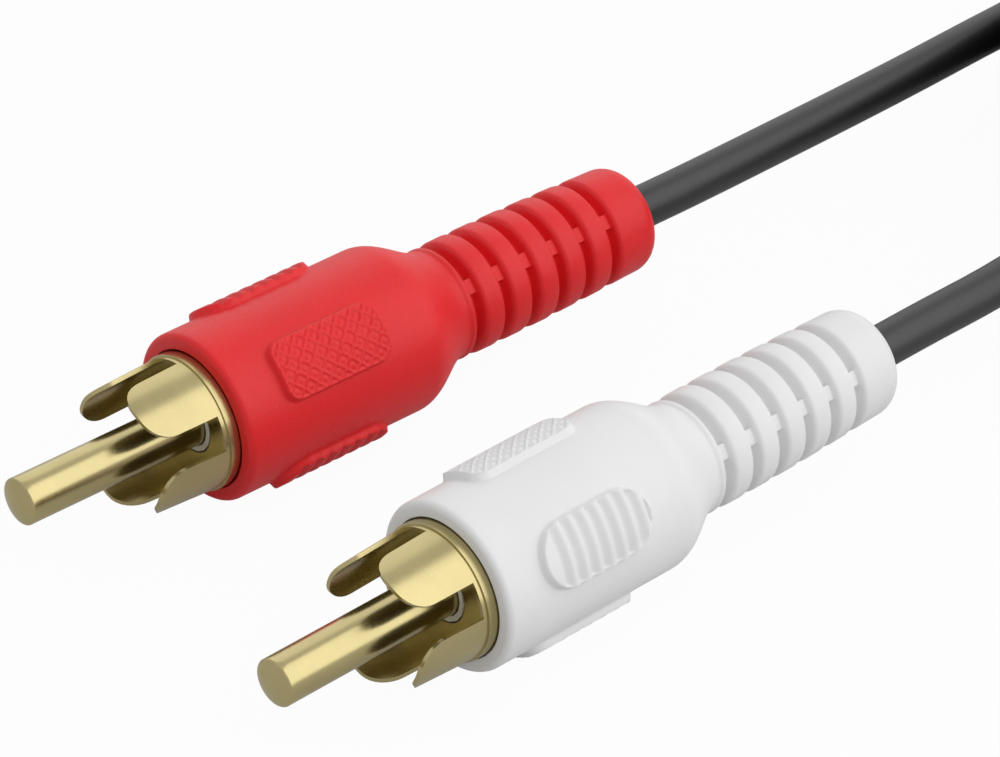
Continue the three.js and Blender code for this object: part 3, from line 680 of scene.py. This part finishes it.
def dress(piece, slot, *nodes):
    """Gives a new piece its finish, its body and the solids it stands for."""
    piece.data.materials.clear()
    piece.data.materials.append(lead_finishes()[slot])
    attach(piece, "root")
    if nodes:
        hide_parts(*nodes)
    return piece


class PHONO_OT_camera(bpy.types.Operator):
    """Sets the camera at the photograph's viewing angle"""

    bl_idname = "phono.camera"
    bl_label = "Camera"

    def execute(self, context):
        sizes = context.scene.lead_sizes
        origin = Vector(plug_place("red_near")[0])
        camera = bpy.data.cameras.new("Camera")
        camera.sensor_fit = "HORIZONTAL"
        camera.sensor_width = 36.0
        camera.lens = sizes.view_lens
        camera.clip_start = 0.01
        offset = Vector((-0.176743, -0.250313, 0.216872))
        turn = Matrix.Rotation(math.radians(-40.834), 4, "Z") @ Matrix.Rotation(math.radians(55.76), 4, "X")
        item = bpy.data.objects.new("Camera", camera)
        item.matrix_world = Matrix.Translation(origin + offset) @ turn
        context.scene.collection.objects.link(item)
        context.scene.camera = item
        return {"FINISHED"}


class PHONO_OT_leads(bpy.types.Operator):
    bl_idname = "phono.leads"
    bl_label = "Leads"

    def execute(self, context):
        sizes = context.scene.lead_sizes
        for colour in ("red", "white"):
            nodes = [colour + "_lead_near", colour + "_lead_far"] + (["lead_coil"] if colour == "red" else [])
            piece = dress(lead_piece(colour, sizes.lead_radius), "black_pvc", *nodes)
            exit_point = on_plug(colour + "_near", np.array(LEAD_EXIT), np.array(0.0), np.array(0.0))
            far = [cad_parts[colour + "_far_" + part] for part in INSIDE_PARTS]
            far += [bpy.data.objects[colour + "_far_" + part] for part in ("body_skin", "pin_turned", "shell_sheet")]
        return {"FINISHED"}


class PHONO_OT_ties(bpy.types.Operator):
    """Makes the two ties round the coil"""

    bl_idname = "phono.ties"
    bl_label = "Coil ties"

    def execute(self, context):
        for node in ("coil_tie_1", "coil_tie_2"):
            dress(tie_piece(node), "tie_plastic", node)
        return {"FINISHED"}


class PHONO_OT_pins(bpy.types.Operator):
    """Makes the turned centre pins"""

    bl_idname = "phono.pins"
    bl_label = "Centre pins"

    def execute(self, context):
        for plug in PLUGS:
            dress(pin_piece(plug, plug.endswith("near")), "gold_plate", plug + "_centre_pin")
        return {"FINISHED"}


class PHONO_OT_shells(bpy.types.Operator):
    """Makes the slotted sprung shells"""

    bl_idname = "phono.shells"
    bl_label = "Sprung shells"

    def execute(self, context):
        for plug in PLUGS:
            dress(shell_piece(plug, plug.endswith("near")), "gold_plate", plug + "_shell")
        return {"FINISHED"}


class PHONO_OT_bodies(bpy.types.Operator):
    """Makes the moulded bodies with their grip pads and strain reliefs"""

    bl_idname = "phono.bodies"
    bl_label = "Moulded bodies"

    def execute(self, context):
        sizes = context.scene.lead_sizes
        for plug in PLUGS:
            slot = "red_pvc" if plug.startswith("red") else "white_pvc"
            dress(body_piece(plug, sizes, plug.endswith("near")), slot, plug + "_body")
        return {"FINISHED"}


class PHONO_OT_inside_parts(bpy.types.Operator):
    """Gives the parts inside the plugs their finishes"""

    bl_idname = "phono.inside_parts"
    bl_label = "Inside parts"

    def execute(self, context):
        slots = {"insulator": "ivory_polythene", "inner_mould": "ivory_polythene", "wire": "copper",
                 "core": "ivory_polythene", "braid": "copper", "jacket": "black_pvc"}
        finishes = lead_finishes()
        for plug in PLUGS:
            for part, slot in slots.items():
                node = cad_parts[plug + "_" + part]
                node.data.materials.clear()
                node.data.materials.append(finishes[slot])
        return {"FINISHED"}


class PHONO_OT_stage(bpy.types.Operator):
    """Sets the pale floor, the white surroundings and the soft lamps"""

    bl_idname = "phono.stage"
    bl_label = "Stage"

    def execute(self, context):
        corners = [(-3, -3, -0.00001), (3, -3, -0.00001), (3, 3, -0.00001), (-3, 3, -0.00001)]
        floor = piece_from("Floor", corners, [(0, 1, 2, 3)])
        floor.data.materials.append(floor_finish())
        world = bpy.data.worlds.new("White studio")
        context.scene.world = world
        world.use_nodes = True
        tree = world.node_tree
        background = tree.nodes["Background"]
        background.inputs["Color"].default_value = (1.0, 1.0, 1.0, 1.0)
        level = spread_value(tree, background_mask(tree, 1.0, 0.2), 0.68, 1.0, 0.0, 1.0)
        tree.links.new(level, background.inputs["Strength"])
        soft_lamp(context, "Front softbox", (0.33, -0.40, 0.38), (0.0, 0.0, 0.0), 0.85, 2.5)
        soft_lamp(context, "Rear softbox", (0.36, 0.44, 0.32), (0.0, 0.0, 0.0), 0.6, 0.6)
        context.scene.view_settings.view_transform = "Standard"
        return {"FINISHED"}


def background_mask(tree, direct, mirrored):
    """How much of the white background a ray is given: one share where the camera looks at it directly, and another
    where it is mirrored in metal or seen through glass, the larger of the two."""
    path = tree.nodes.new("ShaderNodeLightPath")
    indirect = new_node(tree, "ShaderNodeMath", operation="MAXIMUM")
    tree.links.new(path.outputs["Is Glossy Ray"], indirect.inputs[0])
    tree.links.new(path.outputs["Is Transmission Ray"], indirect.inputs[1])
    shares = []
    for source, share in ((path.outputs["Is Camera Ray"], direct), (indirect.outputs["Value"], mirrored)):
        scaled = new_node(tree, "ShaderNodeMath", operation="MULTIPLY")
        scaled.inputs[1].default_value = share
        tree.links.new(source, scaled.inputs[0])
        shares.append(scaled.outputs["Value"])
    largest = new_node(tree, "ShaderNodeMath", operation="MAXIMUM")
    tree.links.new(shares[0], largest.inputs[0])
    tree.links.new(shares[1], largest.inputs[1])
    return largest.outputs["Value"]


def floor_finish():
    """The pale floor: plain white paper whose own light hides most of the shadow from the camera."""
    material = bpy.data.materials.new("Pale floor")
    material.use_nodes = True
    tree = material.node_tree
    shader = tree.nodes["Principled BSDF"]
    shader.inputs["Base Color"].default_value = (0.6, 0.6, 0.6, 1.0)
    shader.inputs["Roughness"].default_value = 0.9
    shader.inputs["Specular IOR Level"].default_value = 0.1
    glow = tree.nodes.new("ShaderNodeEmission")
    glow.inputs["Strength"].default_value = 1.0
    mix = tree.nodes.new("ShaderNodeMixShader")
    tree.links.new(background_mask(tree, 0.96, 0.12), mix.inputs["Fac"])
    tree.links.new(shader.outputs["BSDF"], mix.inputs[1])
    tree.links.new(glow.outputs["Emission"], mix.inputs[2])
    tree.links.new(mix.outputs["Shader"], tree.nodes["Material Output"].inputs["Surface"])
    return material


def soft_lamp(context, name, place, target, size, power):
    """A square soft lamp that faces a target."""
    lamp = bpy.data.lights.new(name, "AREA")
    lamp.size = size
    lamp.energy = power
    item = bpy.data.objects.new(name, lamp)
    item.location = place
    item.rotation_euler = (Vector(target) - Vector(place)).to_track_quat("-Z", "Y").to_euler()
    context.scene.collection.objects.link(item)


class PHONO_PT_panel(bpy.types.Panel):
    """Lists the parts of the lead and their sizes and colours"""

    bl_idname = "PHONO_PT_panel"
    bl_label = "Stereo phono lead"
    bl_space_type = "VIEW_3D"
    bl_region_type = "UI"
    bl_category = "Phono lead"

    def draw(self, context):
        column = self.layout.column()
        for operator in OPERATORS:
            column.operator(operator.bl_idname)
        for group in (context.scene.lead_sizes, context.scene.lead_colours):
            for name in group.bl_rna.properties.keys():
                if name not in ("rna_type", "name"):
                    column.prop(group, name)


OPERATORS = (
    PHONO_OT_camera, PHONO_OT_pins, PHONO_OT_shells, PHONO_OT_bodies, PHONO_OT_ties, PHONO_OT_leads,
    PHONO_OT_inside_parts, PHONO_OT_stage,
)
CLASSES = (LeadSizes, LeadColours, *OPERATORS, PHONO_PT_panel)


def register():
    for item in CLASSES:
        bpy.utils.register_class(item)
    bpy.types.Scene.lead_sizes = PointerProperty(type=LeadSizes)
    bpy.types.Scene.lead_colours = PointerProperty(type=LeadColours)


def unregister():
    del bpy.types.Scene.lead_sizes
    del bpy.types.Scene.lead_colours
    for item in reversed(CLASSES):
        bpy.utils.unregister_class(item)


def main():
    """Registers the add-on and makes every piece."""
    register()
    for operator in OPERATORS:
        getattr(bpy.ops.phono, operator.bl_idname.split(".")[1])()


if __name__ == "__main__":
    main()
